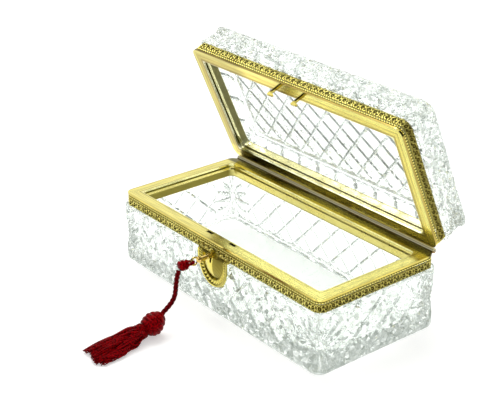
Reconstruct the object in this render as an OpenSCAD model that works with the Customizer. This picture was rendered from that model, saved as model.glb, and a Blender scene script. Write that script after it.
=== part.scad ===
// Cut crystal casket with gilt mounts, a keyed lock and a tasselled key.
// Millimetres, +Z up. The origin is the middle of the crystal foot, on the surface it stands on.
// The front, with the lock, looks along -Y. The lid is drawn open, as the casket is shown.

/* [Casket] */
// Width over the gilt mounts
case_w = 200; // [170:1:240]
// Depth over the gilt mounts
case_d = 95; // [80:1:130]
// Height of the base, from the foot to the flange the lid closes on
base_h = 50; // [46:1:70]
// Height of the lid, from that flange to its crown
lid_h = 27; // [24:1:40]
// Corner radius of the mounts in plan
corner_r = 6; // [4:0.5:10]
// Angle the lid stands open at, from closed
open_angle = 67; // [40:1:90]
// Gap left between the two flanges when the lid is shut
lid_gap = 0.2; // [0.1:0.05:0.4]

/* [Crystal] */
// How far the crystal stands proud of the mounts
glass_proud = 2; // [1:0.1:3]
// Thickness of the casket's floor
floor_t = 8; // [6:0.5:12]
// Thickness of the lid's crown
crown_t = 8; // [6:0.5:10]
// Rounding of the outer edges
edge_r = 2.5; // [1:0.1:4]
// Hollow rounding where the inner walls meet the floor or crown
cove_r = 4.5; // [2:0.1:6]
// Thickness of the bare rim inside a mount
rim_t = 5.4; // [4.8:0.1:6]
// Width of the crossing mitre cuts
cut_w = 2.7; // [1.6:0.1:3]
// Depth of the mitre cuts
cut_depth = 1; // [0.5:0.1:1.2]
// Height between crossings of the cuts on the walls
cut_rise = 20; // [16:0.5:24]

/* [Mounts] */
// Width of the flat flange
flange_w = 8.6; // [8.6:0.1:12]
// Thickness of the flange plate
flange_t = 1.2; // [0.8:0.1:1.6]
// Corner radius of the flange's inner opening
inner_r = 4; // [2:0.5:6]
// Thickness of the liner strip inside the rim
liner_t = 0.5; // [0.4:0.1:0.6]
// Depth of the liner strip below the flange
liner_h = 8; // [5:0.5:10]
// Radius of the beaded moulding under the flange's edge
bead_r = 1.2; // [0.8:0.1:1.2]
// Height of the gallery strip under the moulding
gallery_h = 5.3; // [4.5:0.1:8]
// Thickness of the gallery strip
gallery_t = 0.8; // [0.5:0.1:1.2]
// Set-back of the gallery strip from the flange's edge
gallery_in = 0.3; // [0:0.1:0.4]
// Groove between the moulding and the gallery
groove_h = 0.1; // [0.1:0.1:0.6]
// Thickness of the bedding between crystal and flange
bedding_t = 0.8; // [0.5:0.1:1.2]

/* [Hinge] */
// Distance of the hinge line behind the mounts
hinge_back = 2; // [1.9:0.1:3]
// Outer radius of the knuckles
knuckle_r = 1.5; // [1.3:0.1:1.6]
// Radius of the hinge pin
hinge_pin_r = 0.6; // [0.5:0.05:0.8]
// Length of the hinge
hinge_l = 194; // [150:1:196]
// Gap between neighbouring knuckles
knuckle_gap = 0.3; // [0.2:0.05:0.5]
// Radial clearance of pins in their bores
pin_clear = 0.05; // [0.02:0.01:0.08]
// Thickness of the leaves soldered to the flanges
leaf_t = 0.9; // [0.6:0.1:1.1]

/* [Lock] */
// Distance of each hook's middle from the casket's middle
hook_off = 11.5; // [11:0.1:13]
// Width of a hook over its toe
hook_w = 5; // [4.5:0.1:5.5]
// Width of a hook's shank
shank_w = 2; // [1.6:0.1:2.4]
// Thickness of the hooks and of the bolt
hook_t = 1.4; // [1:0.1:1.5]
// Length of the hooks below the lid's flange
hook_l = 7; // [6.5:0.1:7.2]
// Height of a hook's toe
toe_h = 1.6; // [1.2:0.1:1.8]
// Distance of the hooks' front face behind the mount's front
hook_in = 5.9; // [5.7:0.1:6]
// Travel of the bolt
bolt_travel = 3; // [2.5:0.1:3.2]
// Depth of the key's axis below the top of the base
key_drop = 9; // [8.8:0.1:9.2]
// Thickness of the lock case's plates
plate_t = 0.5; // [0.4:0.1:0.6]
// Depth of the flat ground into the crystal behind the escutcheon
seat_in = 3; // [2.6:0.1:3.2]
// Width of the escutcheon
shield_w = 30; // [28:0.5:34]
// Height of the escutcheon's straight sides
shield_side = 7; // [5:0.5:9]
// Height of the escutcheon's rounded foot
shield_foot = 18.5; // [16:0.5:20]
// Thickness of the escutcheon
shield_t = 3.6; // [3:0.1:4]
// Width of the escutcheon's border
border_w = 4.6; // [3:0.1:6]

/* [Key] */
// Radius of the key's barrel
barrel_r = 1.6; // [1.4:0.05:1.7]
// Radius of the drill pin that the barrel turns on
drill_pin_r = 0.75; // [0.6:0.05:0.85]
// Length of the key outside the mount's front
key_out = 18; // [16:0.5:22]
// Height of the key's bow
bow_h = 6.4; // [6.2:0.1:7.2]
// Thickness of the bow's ring
bow_t = 1.3; // [1.1:0.1:1.4]
// Reach of the bit from the key's axis
bit_r = 4.6; // [4:0.1:4.8]
// Thickness of the bit
bit_t = 1.2; // [0.8:0.1:1.3]

/* [Tassel] */
// Diameter of the cord
cord_d = 3; // [2.4:0.1:3.4]
// Radius of the knot at the bow
knot_r = 3.6; // [3.2:0.1:4]
// Radius of the tassel's wound head
head_r = 8.4; // [7.6:0.1:8.4]
// Length of the tassel's skirt
skirt_l = 36; // [28:1:40]
// Width of the skirt's spread end
skirt_w = 22; // [14:1:26]

/* [Hidden] */
$fn = 64;
eps = 0.01;

gilt = "gold";
crystal = [0.9, 0.95, 0.95, 0.4];
steel = "dimgray";
plaster = "ivory";
crimson = "darkred";

front_y = -case_d / 2;
back_y = case_d / 2;
lid_z = base_h + lid_gap;
hinge_y = back_y + hinge_back;
hinge_z = base_h + lid_gap / 2;
key_z = base_h - key_drop;

// a rounding is drawn as two chamfers that meet at this share of its radius
round_at = 0.3;

// distances below the base's flange top, and above the lid's flange face
bead_z = flange_t + bead_r;
gallery_z = flange_t + 2 * bead_r + groove_h;
band_h = gallery_z + gallery_h;
rim_z = flange_t + bedding_t;
// insets from the mounts' outer faces
liner_in = flange_w - liner_t;
cavity_in = liner_in - groove_h;
rim_in = cavity_in - rim_t;
rim_r = max(corner_r - rim_in, 1);

// hinge: where its five knuckles end, as shares of its length; the base has the ends and the middle
knuckle_ends = [0, 0.17, 0.4, 0.6, 0.83, 1];
pin_end = 0.5;

// crossings of the cuts: spacings along the walls, lowest height, and what stays plain at corners and lock
pitch_x = (case_w / 2 - corner_r) / 5;
pitch_y = (case_d / 2 - corner_r) / 2;
cross_z = 18;
cut_z = edge_r + 0.5;
plain_corner = 14;
plain_lock = 4;
cut_over = 0.2;

// lock: plate planes, as distances behind the mounts' front
cap_y0 = seat_in;
cap_y1 = seat_in + plate_t;
case_y1 = liner_in - 0.05;
case_y0 = case_y1 - plate_t;
slot_front = 0.5;
slot_side = 0.5;
case_wall = 0.7;
case_gap = 0.3;
through = 1;
slot_back = case_y0 - hook_in - hook_t;

tenon_in = 0.2;
hook_end_z = lid_z - hook_l;
tongue_gap = 0.4;
bolt_web = 1.2;
turn_gap = 0.3;
tongue_z = hook_end_z + toe_h + tongue_gap;
channel_z = hook_end_z - tongue_gap;
bolt_z0 = channel_z - bolt_web;
bolt_z1 = base_h - flange_t - tongue_gap;
tongue_l = bolt_travel + 0.5;
talon_left = -bit_r + 0.75 * bolt_travel - turn_gap;
talon_right = bit_r + 0.3 * bolt_travel + turn_gap;
talon_top = key_z + bit_r + tongue_gap;
bolt_x0 = -hook_off - hook_w / 2 - slot_side - 2.5;
bolt_x1 = hook_off + hook_w / 2 + slot_side + tongue_l + 2;
case_x0 = bolt_x0 - bolt_travel - 0.5;
case_x1 = bolt_x1 + 0.5;
case_z0 = bolt_z0 - case_gap;
case_top = base_h - flange_t;
ward_x = bit_r + 1;
ward_z0 = key_z - bit_r - 1;
post_r = 0.7;
post_in = post_r + 0.2;
keyhole_r = barrel_r + 0.2;
keyhole_slot = bit_t + 0.6;
keyhole_foot = key_z - bit_r - 0.4;
shield_top = key_z + 3.4;
shield_z = shield_top - shield_side;
shield_rim = 1.2;
shield_floor = 2.2;
boss_r = 26;
boss_rise = 0.6;
boss_z = key_z - 5.2;
seat_gap = 1.5;
seat_out = 5;

// knot, cord and tassel
bow_y = front_y - key_out + bow_h / 2;
loop_r = 3;
loop_cord_r = 1;
loop_y = front_y - key_out + bow_t - loop_r + loop_cord_r + 0.15;
knot_half = 4.4;
knot_y = front_y - key_out - knot_half - 0.15;
head_pos = [0, -95, 8.5];
collar_dir = 14;
collar_l = 3;
collar_r = 5.2;
cord_points = [[0, -74.2, 38.6], [0, -75, 36.6], [0, -75.7, 34.5], [0, -76.2, 32.4], [0, -76.6, 30.2],
               [0, -76.9, 28], [0, -77.2, 25.8], [0, -77.6, 23.6], [0, -78.3, 21.5], [0, -79.4, 19.6],
               [0, -80.9, 17.9], [0, -82.6, 16.5], [0, -84.4, 15.3], [0, -86.1, 14.2], [0, -87.85, 13.05]];

// Rounded rectangle, inset from the mounts' outer faces (a negative inset stands proud)
module plan(inset, radius) {
    w = case_w - 2 * inset;
    d = case_d - 2 * inset;
    r = max(radius, 0.5);
    square([w - 2 * r, d], center = true);
    square([w, d - 2 * r], center = true);
    for (sx = [-1, 1], sy = [-1, 1])
        translate([sx * (w / 2 - r), sy * (d / 2 - r)]) circle(r = r);
}

// Upright slab of that plan from z0 to z1
module slab(z0, z1, inset, radius) {
    translate([0, 0, z0]) linear_extrude(height = z1 - z0) plan(inset, radius);
}

// Upright ring between two insets
module ring(z0, z1, inset_out, r_out, inset_in, r_in) {
    difference() {
        slab(z0, z1, inset_out, r_out);
        slab(z0 - through, z1 + through, inset_in, r_in);
    }
}

// Round rod that follows the mounts' plan, its axis at one inset and height
module rail_loop(inset, z, radius) {
    r = corner_r - inset;
    w = case_w / 2 - corner_r;
    d = case_d / 2 - corner_r;
    for (s = [-1, 1]) {
        translate([-w, s * (case_d / 2 - inset), z]) rotate([0, 90, 0]) cylinder(h = 2 * w, r = radius);
        translate([s * (case_w / 2 - inset), -d, z]) rotate([-90, 0, 0]) cylinder(h = 2 * d, r = radius);
    }
    for (q = [[1, 1, 0], [-1, 1, 90], [-1, -1, 180], [1, -1, 270]])
        translate([q[0] * w, q[1] * d, z]) rotate([0, 0, q[2]])
            rotate_extrude(angle = 90) translate([r, 0]) circle(r = radius, $fn = 32);
}

// Box given by its lowest and highest corners
module block(low, high) {
    translate(low) cube(high - low);
}

// Turns what is drawn shut at the lid's place to where the open lid stands
module opened() {
    translate([0, hinge_y, hinge_z]) rotate([-open_angle, 0, 0]) translate([0, -hinge_y, -hinge_z]) children();
}

// Solid crystal block of a trough: rounded foot, straight walls, shoulder and bare rim, foot at z = 0
module trough_block(height) {
    step_r = corner_r + glass_proud;
    mid_r = round_at * edge_r;
    hull() {
        slab(0, eps, edge_r - glass_proud, step_r - edge_r);
        slab(mid_r, mid_r + eps, mid_r - glass_proud, step_r - mid_r);
        slab(edge_r, height - band_h, -glass_proud, step_r);
    }
    slab(height - band_h, height - rim_z, rim_in, rim_r);
}

// Hollow of a trough, with coved foot, open at the top
module trough_hollow(height, foot) {
    mid_r = round_at * cove_r;
    hull() {
        slab(foot, foot + eps, cavity_in + cove_r, inner_r);
        slab(foot + mid_r, foot + mid_r + eps, cavity_in + mid_r, inner_r);
        slab(foot + cove_r, height + through, cavity_in, inner_r);
    }
}

// Crossing V cuts into a face in X and Y that looks along +Z, with a crossing at the origin,
// over a field from -w to w and from low to high
module mitre_cuts(pitch, rise, w, low, high) {
    half = cut_w / 2 * (1 + cut_over / cut_depth);
    reach = max(-low, high);
    count = ceil(w / pitch + reach / rise);
    intersection() {
        for (s = [-1, 1], n = [-count : count])
            translate([n * pitch, 0, 0]) rotate([0, 0, s * atan(pitch / rise)]) rotate([90, 0, 0])
                linear_extrude(height = 3 * reach, center = true)
                    polygon([[0, -cut_depth], [half, cut_over], [-half, cut_over]]);
        block([-w, low, -2 * cut_depth], [w, high, 2 * cut_depth]);
    }
}

// The cuts of a trough's four walls, foot at z = 0
module wall_cuts(height) {
    w = case_w / 2 - corner_r - plain_corner;
    d = case_d / 2 - corner_r - plain_corner;
    for (q = [[0, w, case_d / 2, pitch_x], [90, d, case_w / 2, pitch_y],
              [180, w, case_d / 2, pitch_x], [270, d, case_w / 2, pitch_y]])
        rotate([0, 0, q[0]]) translate([0, -q[2] - glass_proud, cross_z]) rotate([90, 0, 0])
            mitre_cuts(q[3], cut_rise, q[1], cut_z - cross_z, height - band_h + through - cross_z);
}

// The cuts of the lid's crown, its face at z = 0 looking down
module crown_cuts() {
    w = case_w / 2 - corner_r;
    d = case_d / 2 - corner_r;
    mirror([0, 0, 1]) translate([0, pitch_y / 2, 0])
        mitre_cuts(pitch_x, pitch_y, w, -d - pitch_y / 2, d - pitch_y / 2);
}

// Room for the lock in the front rim
module lock_notch(top) {
    play = case_wall + case_gap;
    y1 = front_y + flange_w + through;
    block([case_x0 - play, front_y - seat_out, case_z0 - play], [case_x1 + play, y1, top]);
    block([-ward_x - play, front_y - seat_out, ward_z0 - play], [ward_x + play, y1, top]);
}

// Shield outline: straight sides above a half ellipse, drawn in X and Z
module shield_plan(inset) {
    a = shield_w / 2 - inset;
    b = shield_foot - inset;
    polygon(concat([[-a, shield_top - shield_z - inset], [-a, 0]],
                   [for (t = [1:31]) [-a * cos(t * 5.625), -b * sin(t * 5.625)]],
                   [[a, 0], [a, shield_top - shield_z - inset]]));
}

// Prism of the shield outline between two distances behind the mounts' front
module shield_slab(y0, y1, inset) {
    translate([0, front_y + y1, shield_z]) rotate([90, 0, 0])
        linear_extrude(height = y1 - y0) shield_plan(inset);
}

// Keyhole through everything between two distances behind the mounts' front
module keyhole(y0, y1) {
    translate([0, front_y + y0, key_z]) rotate([-90, 0, 0]) cylinder(h = y1 - y0, r = keyhole_r);
    block([-keyhole_slot / 2, front_y + y0, keyhole_foot], [keyhole_slot / 2, front_y + y1, key_z]);
}

module base_crystal() {
    color(crystal) difference() {
        trough_block(base_h);
        trough_hollow(base_h, floor_t);
        lock_notch(base_h + through);
        shield_slab(-seat_out, seat_in, -seat_gap);
        difference() {
            wall_cuts(base_h);
            shield_slab(-seat_out, seat_in, -plain_lock);
        }
    }
}

module lid_crystal() {
    color(crystal) opened() translate([0, 0, lid_z + lid_h]) mirror([0, 0, 1]) difference() {
        trough_block(lid_h);
        trough_hollow(lid_h, crown_t);
        wall_cuts(lid_h);
        crown_cuts();
    }
}

// Flat gilt frame, its outer face at z = 0 and its plate below
module flange_plate() {
    ring(-flange_t, 0, 0, corner_r, flange_w, inner_r);
}

module base_flange() {
    color(gilt) difference() {
        translate([0, 0, base_h]) flange_plate();
        for (s = [-1, 1])
            block([s * hook_off - hook_w / 2 - slot_side, front_y + hook_in - slot_front, base_h - band_h],
                  [s * hook_off + hook_w / 2 + slot_side, front_y + case_y0, base_h + through]);
    }
}

// Tenon of a hook, which is riveted through the lid's flange
module hook_tenon(s, play) {
    low = [s * hook_off - hook_w / 2 + tenon_in, front_y + hook_in + tenon_in, lid_z];
    size = [shank_w - 2 * tenon_in, hook_t - 2 * tenon_in, flange_t];
    block(low - [play, play, 0], low + size + [play, play, 0]);
}

module lid_flange() {
    color(gilt) opened() difference() {
        translate([0, 0, lid_z]) mirror([0, 0, 1]) flange_plate();
        for (s = [-1, 1]) hook_tenon(s, pin_clear);
    }
}

// Strip that lines the rim inside, hung under the flange at z = 0
module liner_strip() {
    ring(-flange_t - liner_h, -flange_t, liner_in, inner_r + liner_t, flange_w, inner_r);
}

module base_liner() {
    color(gilt) translate([0, 0, base_h]) liner_strip();
}

module lid_liner() {
    color(gilt) opened() translate([0, 0, lid_z]) mirror([0, 0, 1]) liner_strip();
}

module base_beading() {
    color(gilt) translate([0, 0, base_h]) rail_loop(bead_r, -bead_z, bead_r);
}

module lid_beading() {
    color(gilt) opened() translate([0, 0, lid_z]) rail_loop(bead_r, bead_z, bead_r);
}

// Pierced strip below the moulding, cut away where the shield stands over it
module gallery_strip() {
    inner = gallery_in + gallery_t;
    ring(-band_h, -gallery_z, gallery_in, corner_r - gallery_in, inner, corner_r - inner);
}

module base_gallery() {
    color(gilt) difference() {
        translate([0, 0, base_h]) gallery_strip();
        shield_slab(-seat_out, seat_in, -groove_h);
    }
}

module lid_gallery() {
    color(gilt) opened() translate([0, 0, lid_z]) mirror([0, 0, 1]) gallery_strip();
}

// Plaster bed between the crystal's rim and the flange
module bedding_ring() {
    ring(-rim_z, -flange_t, rim_in, rim_r, cavity_in, inner_r);
}

module base_bedding() {
    color(plaster) difference() {
        translate([0, 0, base_h]) bedding_ring();
        lock_notch(base_h + through);
    }
}

module lid_bedding() {
    color(plaster) opened() translate([0, 0, lid_z]) mirror([0, 0, 1]) bedding_ring();
}

// Knuckle n, with the leaf that joins it to the mount on side s (-1 below, 1 above)
module knuckle(n, s) {
    x0 = -hinge_l / 2 + knuckle_ends[n] * hinge_l + (n == 0 ? 0 : knuckle_gap / 2);
    x1 = -hinge_l / 2 + knuckle_ends[n + 1] * hinge_l - (n == 4 ? 0 : knuckle_gap / 2);
    leaf_z = s * (lid_gap / 2 + groove_h);
    difference() {
        union() {
            translate([x0, hinge_y, hinge_z]) rotate([0, 90, 0]) cylinder(h = x1 - x0, r = knuckle_r);
            block([x0, back_y, hinge_z + min(leaf_z, leaf_z + s * leaf_t)],
                  [x1, hinge_y, hinge_z + max(leaf_z, leaf_z + s * leaf_t)]);
        }
        translate([x0 - through, hinge_y, hinge_z]) rotate([0, 90, 0])
            cylinder(h = x1 - x0 + 2 * through, r = hinge_pin_r + pin_clear);
    }
}

module base_hinge_leaf() {
    color(gilt) for (n = [0, 2, 4]) knuckle(n, -1);
}

module lid_hinge_leaf() {
    color(gilt) opened() for (n = [1, 3]) knuckle(n, 1);
}

module hinge_pin() {
    color(steel) translate([-hinge_l / 2 - pin_end, hinge_y, hinge_z]) rotate([0, 90, 0])
        cylinder(h = hinge_l + 2 * pin_end, r = hinge_pin_r);
}

// Lock case: back plate with side walls, a wide channel for the bolt above a room for the bit
module lock_case() {
    color(gilt) difference() {
        union() {
            block([case_x0 - case_wall, front_y + cap_y1, case_z0 - case_wall],
                  [case_x1 + case_wall, front_y + case_y1, case_top]);
            block([-ward_x - case_wall, front_y + cap_y1, ward_z0 - case_wall],
                  [ward_x + case_wall, front_y + case_y1, case_top]);
        }
        block([case_x0, front_y, case_z0], [case_x1, front_y + case_y0, case_top + through]);
        block([-ward_x, front_y, ward_z0], [ward_x, front_y + case_y0, case_top + through]);
        translate([0, front_y + case_y0 - through, key_z]) rotate([-90, 0, 0])
            cylinder(h = plate_t + 2 * through, r = drill_pin_r);
    }
}

module lock_cap() {
    color(gilt) difference() {
        union() {
            block([case_x0 - case_wall, front_y + cap_y0, case_z0 - case_wall],
                  [case_x1 + case_wall, front_y + cap_y1, case_top]);
            block([-ward_x - case_wall, front_y + cap_y0, ward_z0 - case_wall],
                  [ward_x + case_wall, front_y + cap_y1, case_top]);
        }
        keyhole(cap_y0 - through, cap_y1 + through);
    }
}

// Two posts that tie the cap to the case, clear of the bolt's ends
module cap_posts() {
    color(gilt) for (s = [-1, 1])
        translate([s * (ward_x - post_in), front_y + cap_y1, ward_z0 + post_in]) rotate([-90, 0, 0])
            cylinder(h = case_y0 - cap_y1, r = post_r);
}

module drill_pin() {
    color(steel) translate([0, front_y + cap_y1, key_z]) rotate([-90, 0, 0])
        cylinder(h = case_y1 - cap_y1, r = drill_pin_r);
}

// Bowed strip on the cap that rubs the bolt's face
module bolt_spring() {
    thick = 0.3;
    foot = 1.5;
    half = 2.2;
    rise = hook_in - cap_y1 - thick - 0.1;
    translate([talon_left - 1 - foot - 2 * half, front_y + cap_y1, bolt_z1 - 3])
        color(steel) linear_extrude(height = 2)
            polygon([[0, 0], [foot, 0], [foot + half, rise], [foot + 2 * half, thick],
                     [foot + 2 * half, 2 * thick], [foot + half, rise + thick], [foot, thick], [0, thick]]);
}

// Cast shield: raised border, dished field and a swelling boss, pierced by the keyhole
module escutcheon() {
    rim_y = seat_in - shield_t;
    floor_y = seat_in - shield_floor;
    color(gilt) difference() {
        union() {
            difference() {
                shield_slab(rim_y, seat_in, 0);
                shield_slab(rim_y - through, floor_y, shield_rim);
            }
            intersection() {
                translate([0, front_y + rim_y + boss_r - boss_rise, boss_z]) sphere(r = boss_r);
                shield_slab(rim_y - through, floor_y, border_w);
            }
        }
        keyhole(-seat_out, seat_in + through);
    }
}

// Sliding bolt: hooks drop into its two channels, and its tongues shut over their toes
module lock_bolt() {
    left = -hook_off - hook_w / 2 - slot_side;
    right = hook_off - hook_w / 2 - slot_side;
    channel_w = hook_w + 2 * slot_side;
    color(steel) translate([0, front_y + hook_in + hook_t, 0]) rotate([90, 0, 0])
        linear_extrude(height = hook_t) difference() {
            translate([bolt_x0, bolt_z0]) square([bolt_x1 - bolt_x0, bolt_z1 - bolt_z0]);
            for (x = [left, right]) {
                translate([x, channel_z]) square([channel_w, bolt_z1]);
                translate([x, channel_z]) square([channel_w + tongue_l, tongue_z - channel_z]);
            }
            translate([talon_left, bolt_z0 - through])
                square([talon_right - talon_left, talon_top - bolt_z0 + through]);
        }
}

// One lid hook: shank with a toe to the right, riveted to the flange by its tenon
module lid_hook(s) {
    x0 = s * hook_off - hook_w / 2;
    y0 = front_y + hook_in;
    toe_x = x0 + hook_w - toe_h / 2;
    color(gilt) opened() {
        block([x0, y0, hook_end_z], [x0 + shank_w, y0 + hook_t, lid_z]);
        block([x0 + shank_w - eps, y0, hook_end_z], [toe_x, y0 + hook_t, hook_end_z + toe_h]);
        translate([toe_x, y0, hook_end_z + toe_h / 2]) rotate([-90, 0, 0])
            cylinder(h = hook_t, r = toe_h / 2, $fn = 32);
        hook_tenon(s, 0);
    }
}

module left_hook() {
    lid_hook(-1);
}

module right_hook() {
    lid_hook(1);
}

// Barrel key: drilled stem with a bit that hangs down at rest, a collar and an upright ring bow
module key() {
    stem_y0 = bow_y + bow_h / 2 - bow_t / 2;
    stem_y1 = front_y + case_y0 - turn_gap;
    bore_y0 = front_y + cap_y1 - turn_gap;
    bit_l = 2.7;
    collar_h = 1.2;
    color(gilt) {
        difference() {
            union() {
                translate([0, stem_y0, key_z]) rotate([-90, 0, 0])
                    cylinder(h = stem_y1 - stem_y0, r = barrel_r);
                translate([0, stem_y0 + collar_h / 2, key_z]) rotate([-90, 0, 0])
                    cylinder(h = collar_h, r = barrel_r + 0.7);
                block([-bit_t / 2, stem_y1 - bit_l, key_z - bit_r], [bit_t / 2, stem_y1, key_z - barrel_r / 2]);
            }
            translate([0, bore_y0, key_z]) rotate([-90, 0, 0])
                cylinder(h = stem_y1 + through - bore_y0, r = drill_pin_r + pin_clear);
        }
        translate([0, bow_y, key_z]) rotate([0, 90, 0])
            rotate_extrude() translate([bow_h / 2 - bow_t / 2, 0]) circle(r = bow_t / 2, $fn = 32);
    }
}

// Loop of cord through the bow, and the knot behind it, both round about the key's axis where the cord hangs
module key_loop() {
    color(crimson) union() {
        translate([0, loop_y, key_z])
            rotate_extrude() translate([loop_r, 0]) circle(r = loop_cord_r, $fn = 32);
        translate([0, knot_y, key_z]) rotate([90, 0, 0]) rotate_extrude()
            polygon(concat([[0, -knot_half]],
                           [for (t = [-5:5]) [knot_r * cos(t * 15), knot_half * sin(t * 15)]],
                           [[0, knot_half]]));
    }
}

// Tube swept along points, with a ring of corners at each
function unit(v) = v / norm(v);
function heading(p, i) = unit(p[min(i + 1, len(p) - 1)] - p[max(i - 1, 0)]);
module swept_tube(points, radius, sides) {
    rings = len(points);
    corners = [for (i = [0:rings - 1]) let (t = heading(points, i), u = unit(cross(t, [1, 0, 0])))
                   for (k = [0:sides - 1]) let (a = 360 * k / sides)
                       points[i] + radius * (cos(a) * [1, 0, 0] + sin(a) * u)];
    walls = [for (i = [0:rings - 2], k = [0:sides - 1]) let (n = (k + 1) % sides)
                 [i * sides + k, i * sides + n, (i + 1) * sides + n, (i + 1) * sides + k]];
    start = [for (k = [sides - 1:-1:0]) k];
    finish = [for (k = [0:sides - 1]) (rings - 1) * sides + k];
    polyhedron(points = corners, faces = concat(walls, [start], [finish]), convexity = 4);
}

module tassel_cord() {
    color(crimson) swept_tube(cord_points, cord_d / 2, 8);
}

module tassel_head() {
    color(crimson) translate(head_pos) sphere(r = head_r);
}

// Frame at the head's middle whose -Y axis runs out along the tassel, dipping to the surface
module along_tassel(distance) {
    translate(head_pos) rotate([collar_dir, 0, 0]) translate([0, -distance, 0]) children();
}

module tassel_collar() {
    color(crimson) difference() {
        along_tassel(head_r + collar_l - 2) rotate([-90, 0, 0]) cylinder(h = collar_l, r = collar_r);
        translate(head_pos) sphere(r = head_r + 0.02);
    }
}

module tassel_skirt() {
    root_y = head_pos[1] - head_r - collar_l;
    color(crimson) difference() {
        hull() {
            along_tassel(head_r + collar_l - 1) rotate([-90, 0, 0])
                cylinder(h = eps, r = collar_r - 0.4, $fn = 32);
            for (p = [[0.45, 0.32, 6.2], [1, 0.5, 3.2]])
                translate([0, root_y - p[0] * skirt_l + 2, p[2]]) rotate([90, 0, 0])
                    linear_extrude(height = eps) scale([p[1] * skirt_w / p[2], 1]) circle(r = p[2], $fn = 32);
        }
        along_tassel(head_r + collar_l - 2) rotate([-90, 0, 0]) cylinder(h = collar_l + head_r, r = collar_r + 3);
    }
}

base_crystal();
base_flange();
base_liner();
base_beading();
base_gallery();
base_bedding();
base_hinge_leaf();
hinge_pin();
lock_case();
lock_cap();
cap_posts();
drill_pin();
bolt_spring();
escutcheon();
lock_bolt();
lid_crystal();
lid_flange();
lid_liner();
lid_beading();
lid_gallery();
lid_bedding();
lid_hinge_leaf();
left_hook();
right_hook();
key();
key_loop();
tassel_cord();
tassel_head();
tassel_collar();
tassel_skirt();
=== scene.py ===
"""The cut crystal casket: its looks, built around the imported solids. Metres, +Z up."""

import math

import bpy
import numpy as np
from mathutils import Matrix, Vector


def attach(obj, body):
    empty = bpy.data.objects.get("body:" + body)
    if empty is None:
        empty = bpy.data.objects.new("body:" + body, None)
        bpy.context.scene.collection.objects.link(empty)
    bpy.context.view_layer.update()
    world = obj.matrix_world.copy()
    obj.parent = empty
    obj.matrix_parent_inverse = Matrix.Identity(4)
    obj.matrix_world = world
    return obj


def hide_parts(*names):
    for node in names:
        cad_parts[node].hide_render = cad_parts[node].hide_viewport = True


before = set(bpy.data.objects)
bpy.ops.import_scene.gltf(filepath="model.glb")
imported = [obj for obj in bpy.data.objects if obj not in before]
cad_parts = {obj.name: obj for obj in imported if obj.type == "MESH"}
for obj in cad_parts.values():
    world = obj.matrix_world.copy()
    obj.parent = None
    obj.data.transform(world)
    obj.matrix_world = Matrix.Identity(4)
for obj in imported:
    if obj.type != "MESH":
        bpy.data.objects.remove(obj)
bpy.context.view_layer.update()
MM = 0.001

# --- Camera -------------------------------------------------------------------
# A long lens from above the right front corner, a little off level.
bearing, height_angle, roll = (math.radians(v) for v in (51.5393, 24.782, -0.4981))
eye = (0.55606, -0.459411, 0.395219)
behind = np.array([math.sin(bearing) * math.cos(height_angle), -math.cos(bearing) * math.cos(height_angle),
                   math.sin(height_angle)])
level_right = np.cross(-behind, [0, 0, 1])
level_right /= np.linalg.norm(level_right)
level_up = np.cross(level_right, -behind)
right = math.cos(roll) * level_right + math.sin(roll) * level_up
up = -math.sin(roll) * level_right + math.cos(roll) * level_up
camera = bpy.data.objects.new("camera", bpy.data.cameras.new("camera"))
camera.matrix_world = Matrix([[right[i], up[i], behind[i], eye[i]] for i in range(3)] + [[0, 0, 0, 1]])
camera.data.lens = 89.067
camera.data.sensor_width = 36
camera.data.clip_end = 20
bpy.context.scene.collection.objects.link(camera)
bpy.context.scene.camera = camera

# --- Tassel cord --------------------------------------------------------------
# Three plies of crimson silk laid into a cord 3 mm thick, hanging from the knot
# at the key's bow and curving out to the tassel's head on the surface.
cord_route = np.array([[0, -74.2, 38.6], [0, -75, 36.6], [0, -75.7, 34.5], [0, -76.2, 32.4], [0, -76.6, 30.2],
                       [0, -76.9, 28], [0, -77.2, 25.8], [0, -77.6, 23.6], [0, -78.3, 21.5], [0, -79.4, 19.6],
                       [0, -80.9, 17.9], [0, -82.6, 16.5], [0, -84.4, 15.3], [0, -86.1, 14.2], [0, -87.85, 13.05]])
cord_rings, cord_sides, cord_run, ply_lay = 150, 18, 30.4, 8.5


def new_piece(name, points, faces, body, slot, material, node_name, sharp=None, **shares):
    """A mesh from points in millimetres that rides a body and stands for a node. Edges that turn by more than
    sharp degrees stay crisp. Each of the shares, from 0 to 1 at each point, is an attribute the material reads."""
    mesh = bpy.data.meshes.new(name)
    mesh.from_pydata(np.asarray(points, float) * MM, [], faces)
    mesh.validate()
    mesh.polygons.foreach_set("use_smooth", np.ones(len(mesh.polygons), bool))
    if sharp is not None:
        mesh.set_sharp_from_angle(angle=math.radians(sharp))
    mesh.materials.append(material)
    for attribute, values in shares.items():
        mesh.attributes.new(attribute, "FLOAT", "POINT").data.foreach_set("value", values)
    piece = bpy.data.objects.new(name, mesh)
    bpy.context.scene.collection.objects.link(piece)
    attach(piece, body)
    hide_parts(node_name)
    return piece


def resampled(points, count):
    """Points at equal steps along a polyline, each coordinate read at the same share of its length."""
    run = np.concatenate([[0], np.cumsum(np.linalg.norm(np.diff(points, axis=0), axis=1))])
    at = np.linspace(0, run[-1], count)
    return np.stack([np.interp(at, run, points[:, i]) for i in range(3)], 1)


def grid_faces(rows, columns, closed, first=0, returns=False):
    """Quads of a grid whose rows are rings (closed) or open strips. The last row can return to the first."""
    r = np.arange(rows if returns else rows - 1)[:, None]
    c = np.arange(columns if closed else columns - 1)
    here, there, n = r * columns, (r + 1) % rows * columns, (c + 1) % columns
    return (first + np.stack([here + c, here + n, there + n, there + c], -1).reshape(-1, 4)).tolist()


def ends(rings, sides):
    """The flat faces that close a skin of rings: the first ring, turned about, and the last."""
    last = (rings - 1) * sides
    return [list(range(sides))[::-1], list(range(last, last + sides))]


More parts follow.
